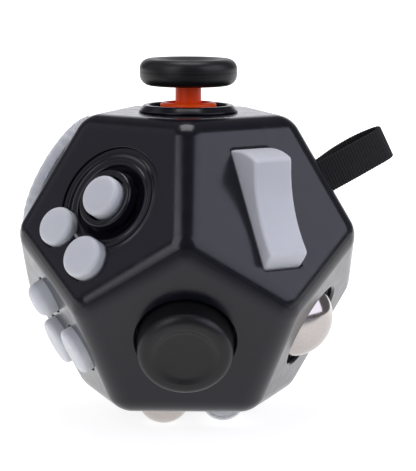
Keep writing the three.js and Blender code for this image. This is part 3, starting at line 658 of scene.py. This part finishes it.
def make_rocker():
    k = ROCKER
    end = math.sqrt(k["arc"] ** 2 - k["shoulder"] ** 2)
    top = math.degrees(math.asin(k["shoulder"] / k["arc"]))
    hollow = (end ** 2 + k["sag"] ** 2) / (2 * k["sag"])
    half = math.degrees(math.asin((end - 0.15) / hollow))
    outline = [
        *arc(0, 0, k["arc"], -9, top - 2, 14),
        *arc(0, k["shoulder"] - k["sag"] + hollow, hollow, -90 + half, -90 - half, 24),
        *arc(0, 0, k["arc"], 182 - top, 189, 14),
        (-3, -1.6), *arc(0, 0, 1.9, 215, 325, 8), (3, -1.6),
    ]
    width = k["width"] / 2
    mesh = loft([[(x, y, z) for y, z in outline] for x in (-width, width)])
    tilt = Matrix.Rotation(math.radians(k["tilt"]), 4, "X")
    mesh.transform(Matrix.Translation((k["x"], k["y"], -k["depth"])) @ tilt)
    piece("rocker", mesh, "rocker", sharp=40, bevel=0.75)


# ---------------------------------------------------------------- balls and wheels


def sphere(r, z, x=0.0, y=0.0):
    mesh = bmesh.new()
    bmesh.ops.create_icosphere(mesh, subdivisions=6, radius=r, matrix=Matrix.Translation((x, y, z)))
    return mesh


def make_balls():
    piece("roller_ball", sphere(BALL["r"], -BALL["depth"]), "ball")
    b = SMALL_BALL
    piece("small_ball", sphere(b["r"], -b["depth"], b["x"], b["y"]), "base")


def make_wheels():
    w = WHEEL
    half = w["wide"] / 2
    r = w["r"]
    profile = filleted([
        (0.85, -half), (2.4, -half, 0.05), (2.5, -half + 0.15, 0.05), (2.75, -half + 0.15, 0.05),
        (2.85, -half, 0.05), (r, -half, 0.3), (r, half, 0.3), (2.85, half, 0.05), (2.75, half - 0.15, 0.05),
        (2.5, half - 0.15, 0.05), (2.4, half, 0.05), (0.85, half),
    ], closed=True)

    def teeth(angle, radius, z):
        if radius < r - 0.01 or abs(z) > half - 0.5:
            return radius
        return radius - 0.14 * (0.5 - 0.5 * math.cos(24 * angle)) ** 2

    top = next(n for n, point in enumerate(profile) if point[0] > r - 0.001 and point[1] > 0)
    band = [(r, -half + 0.55), (r, -half + 0.62), (r, 0), (r, half - 0.62), (r, half - 0.55)]
    for i, y in enumerate(w["rows"]):
        wheel = lathe(profile[:top] + band + profile[top:], sides=192, closed=True, wobble=teeth)
        on_side = Matrix.Rotation(math.pi / 2, 4, "X")
        wheel.transform(Matrix.Translation((w["x"], y, -w["depth"])) @ on_side)
        piece(f"gear_wheel_{i + 1}", wheel, "base")


# ---------------------------------------------------------------- dial, slider, stone, disc


def make_dial():
    d = DIAL
    outer = filleted([
        (0, -3.4), (2.4, -3.4), (2.4, d["low"] - 0.05), (d["r"] - 0.4, d["low"], 0.2),
        (d["r"], d["low"] + 0.3, 0.15), (d["r"], d["high"] - 0.35, 0.25), (d["r"] - 0.5, d["high"], 0.25),
        (8.3, d["high"], 0.2), (7.5, d["high"] - 0.62, 0.3), (3.4, d["high"] - 0.72), (0, d["high"] - 0.85),
    ])

    def ribs(angle, radius, z):
        depth = min(max((radius - 7.6) / 1.6, 0), 1)
        return radius - 0.13 * depth * (0.5 - 0.5 * math.cos(d["ribs"] * angle)) ** 1.5

    piece("ribbed_dial", lathe(outer, 0, d["y"], 384, wobble=ribs), "dial")


def make_slider():
    knob = joined(
        cushion(3.2, 3.0, PLAY, 1.75, 0.9, 0.1, 0.35),
        *[move(cushion(0.32, 2.4, 1.2, 2.2, 0.3, 0.05, 0.28), (x, 0, 0)) for x in (-1.6, 0, 1.6)],
        cushion(1.6, 1.2, -2.6, PLAY + 0.3, 1.12, 0.05, 0.05),
        cushion(3.0, 2.6, -3.0, -WALL - PLAY, 0.3, 0.05, 0.05),
    )
    piece("slide_knob", knob, "slider")


def move(mesh, offset):
    mesh.transform(Matrix.Translation(offset))
    return mesh


def make_stone():
    r, dish = STONE["r"], STONE["dish"]
    profile = filleted([
        (0, -3.3), (r + 0.8, -3.3), (r + 0.8, -2.3), (r, -2.3), (r, 0, 0.3), (r - 0.9, 0, 0.5),
        (r - 3.4, -dish + 0.4, 3.0), (r - 6, -dish + 0.04, 2.0), (0, -dish),
    ], step=6)
    piece("worry_stone", lathe(profile, sides=144), "stone", sharp=50)


def make_spin():
    s = SPIN
    profile = filleted([
        (0, -3.2), (1.7, -3.2), (1.7, -0.1), (2.4, s["low"]), (s["r"] - 0.3, s["low"], 0.2),
        (s["r"], s["low"] + 0.4, 0.2), (s["r"], s["high"], 0.6), (s["r"] - 1.2, s["high"], 0.2),
        (s["r"] - 1.45, s["high"] - 0.18, 0.1), (0, s["high"] - 0.18),
    ])
    disc = as_object(lathe(profile), "fine_spin_disc", PLACE["spin"])
    scoop = as_object(sphere(4.2, s["high"] + 2.7, 4.2, 0), "scoop", PLACE["spin"])
    combine(disc, [scoop])
    bevelled(disc, 0.25 * MM, 4, 20)
    shade(disc, 35)
    dress(disc, "spin_disc")


# ---------------------------------------------------------------- strap


def make_strap():
    """Ribbed webbing folded into a loop: the front layer nearly straight, the rear one bowed."""
    s = STRAP
    path = smooth_path([
        (-0.4, -0.15), (-0.42, 1.5), (-0.55, 6), (-0.5, 10.5), (-0.38, 12.9), (0.05, 13.85), (0.8, 14.12),
        (1.65, 13.75), (2.45, 12.6), (3.05, 10.9), (3.2, 9), (2.8, 6.5), (1.8, 4), (0.78, 1.7),
        (0.42, 0.5), (0.4, -0.15),
    ], 0.05)
    rings = []
    travelled = 0.0
    for i, (x, z) in enumerate(path):
        before, after = path[max(i - 1, 0)], path[min(i + 1, len(path) - 1)]
        along = Vector((after[0] - before[0], after[1] - before[1])).normalized()
        if i:
            travelled += math.dist(path[i - 1], (x, z))
        rib = 0.5 - 0.5 * math.cos(2 * math.pi * travelled / s["rib"])
        thick = s["thick"] / 2 * (0.74 + 0.26 * rib ** 0.6)
        half = s["width"] / 2 - 0.05 + 0.05 * rib
        ring = []
        for px, py in rounded_rectangle(thick, half, thick * 0.95, 4):
            ring.append((x - px * along.y, s["y"] + py, z + px * along.x))
        rings.append(ring)
    piece("strap_loop", loft(rings), "strap", sharp=60)


def smooth_path(points, spacing):
    """A Catmull-Rom curve through the points, as points about one spacing apart."""
    padded = [points[0]] + list(points) + [points[-1]]
    path = [Vector(points[0])]
    for a, b, c, d in zip(padded, padded[1:], padded[2:], padded[3:]):
        a, b, c, d = (Vector(p) for p in (a, b, c, d))
        count = max(1, round((c - b).length / spacing))
        for k in range(1, count + 1):
            t = k / count
            path.append(0.5 * (2 * b + (c - a) * t + (2 * a - 5 * b + 4 * c - d) * t ** 2
                               + (3 * b - a - 3 * c + d) * t ** 3))
    return [tuple(point) for point in path]


# ---------------------------------------------------------------- the CAD nodes that stay


def dress_inner_nodes():
    """Sealed inner pieces keep their CAD shape and take their slot's material."""
    for node, thing in frame["nodes"].items():
        thing.data.materials.clear()
        thing.data.materials.append(MATERIALS[SLOT_OF[node]])


# ---------------------------------------------------------------- floor, lights, camera

TARGET = Vector((0, 0, INRADIUS * MM))


def direction(azimuth, elevation):
    """A unit vector towards a place round the object. Azimuth 0 is the front, 90 the right."""
    az, el = math.radians(azimuth), math.radians(elevation)
    return Vector((math.sin(az) * math.cos(el), -math.cos(az) * math.cos(el), math.sin(el)))


def softbox(name, azimuth, elevation, width, height, radiance, tint, distance=0.8):
    light = bpy.data.lights.new(name, "AREA")
    light.shape = "RECTANGLE"
    light.size, light.size_y = width, height
    light.energy = radiance * math.pi * width * height
    light.color = tint
    thing = bpy.data.objects.new(name, light)
    thing.location = TARGET + direction(azimuth, elevation) * distance
    thing.rotation_euler = (TARGET - thing.location).to_track_quat("-Z", "Y").to_euler()
    bpy.context.scene.collection.objects.link(thing)


def make_lights():
    softbox("key_left", -40, 27, 0.42, 0.8, 1.9, (0.97, 0.97, 1.08))
    softbox("key_right", 68, 30, 0.85, 0.66, 1.6, (0.94, 0.95, 1.14))
    softbox("fill_left", -92, 32, 0.7, 0.7, 0.3, (0.95, 0.95, 1.1))
    softbox("overhead", 180, 83, 0.46, 0.46, 3.6, (1.0, 1.0, 1.03))


def make_world():
    """A white studio round the object: bright behind, dim above and in front; plain white to the camera."""
    world = bpy.data.worlds.new("studio")
    bpy.context.scene.world = world
    world.use_nodes = True
    tree = world.node_tree
    tree.nodes.clear()

    def node(kind, **values):
        made = tree.nodes.new(kind)
        for key, value in values.items():
            setattr(made, key, value)
        return made

    def ramp(source, low, high, start, stop):
        made = node("ShaderNodeMapRange", interpolation_type="SMOOTHSTEP")
        for key, value in zip(("From Min", "From Max", "To Min", "To Max"), (start, stop, low, high)):
            made.inputs[key].default_value = value
        tree.links.new(source, made.inputs["Value"])
        return made.outputs["Result"]

    split = node("ShaderNodeSeparateXYZ")
    tree.links.new(node("ShaderNodeTexCoord").outputs["Generated"], split.inputs[0])
    behind = ramp(split.outputs["Y"], 0, 1, 0.8, 0.96)
    below = ramp(split.outputs["Z"], 1, 0, 0.5, 0.78)
    backdrop = node("ShaderNodeMath", operation="MULTIPLY")
    tree.links.new(behind, backdrop.inputs[0])
    tree.links.new(below, backdrop.inputs[1])
    strength = ramp(backdrop.outputs[0], 0.14, 1.2, 0, 1)
    studio = node("ShaderNodeBackground")
    studio.inputs["Color"].default_value = (0.97, 0.97, 1.02, 1)
    tree.links.new(strength, studio.inputs["Strength"])
    plain = node("ShaderNodeBackground")
    plain.inputs["Color"].default_value = (1, 1, 1, 1)
    pick = node("ShaderNodeMixShader")
    tree.links.new(node("ShaderNodeLightPath").outputs["Is Camera Ray"], pick.inputs[0])
    tree.links.new(studio.outputs[0], pick.inputs[1])
    tree.links.new(plain.outputs[0], pick.inputs[2])
    tree.links.new(pick.outputs[0], node("ShaderNodeOutputWorld").inputs["Surface"])


def make_floor():
    """A table that looks plain white to the camera, with a painted glow: what the object mirrors of it, and
    is lit by, is dimmer towards the front.
    """
    nodes = Nodes("floor_painted_glow")
    paint = nodes.mix(nodes.noise(6, 3), (0.36, 0.36, 0.36), (0.38, 0.38, 0.38))
    nodes.link(paint, nodes.shader.inputs["Base Color"])
    split = nodes.add("ShaderNodeSeparateXYZ")
    nodes.link(nodes.place, split.inputs[0])
    # painted glow: the table's emission, dimmer towards the front, stands in for light falling on it
    glow = nodes.spread(split.outputs["Y"], 0.0, 0.79, -0.085, -0.038)
    seen = nodes.spread(nodes.add("ShaderNodeLightPath").outputs["Is Camera Ray"], 0.0, 0.85, 0.0, 1.0)
    even = nodes.add("ShaderNodeMath", operation="MAXIMUM")
    nodes.link(glow, even.inputs[0])
    nodes.link(seen, even.inputs[1])
    # more painted glow, growing further behind the object
    behind = nodes.spread(split.outputs["Y"], 0.0, 0.5, 0.0, 0.4)
    total = nodes.add("ShaderNodeMath", operation="ADD")
    nodes.link(even.outputs[0], total.inputs[0])
    nodes.link(behind, total.inputs[1])
    nodes.link(total.outputs[0], nodes.shader.inputs["Emission Strength"])
    nodes.set(Roughness=0.75, Specular_IOR_Level=0.2, Emission_Color=(1, 1, 1, 1))
    mesh = bmesh.new()
    bmesh.ops.create_circle(mesh, cap_ends=True, segments=96, radius=6.0)
    floor = as_object(mesh, "floor", Matrix.Translation((0, 0, cad_bounds[0][2])))
    floor.data.materials.append(nodes.material)


def make_camera():
    """Slightly above and right of the front, through a long lens on an upright picture."""
    azimuth, elevation, distance = 0.85, 8.18, 0.3534
    roll = math.radians(0.2177)
    lens = bpy.data.cameras.new("camera")
    lens.sensor_fit = "VERTICAL"
    lens.sensor_height = 36
    lens.lens = 180.489
    lens.shift_x = 0.0431
    lens.shift_y = 0.0418
    lens.clip_start = 0.01
    lens.clip_end = 100
    camera = bpy.data.objects.new("camera", lens)
    camera.location = TARGET + direction(azimuth, elevation) * distance
    towards = (TARGET - camera.location).to_track_quat("-Z", "Y")
    camera.rotation_euler = (towards @ Matrix.Rotation(roll, 3, "Z").to_quaternion()).to_euler()
    bpy.context.scene.collection.objects.link(camera)
    bpy.context.scene.camera = camera


make_camera()
make_floor()
make_lights()
make_world()
bpy.context.scene.view_settings.view_transform = "Standard"

dress_inner_nodes()
make_case()
make_stick()
make_pad()
make_rocker()
make_press()
make_click()
make_balls()
make_wheels()
make_dial()
make_slider()
make_stone()
make_spin()
make_strap()
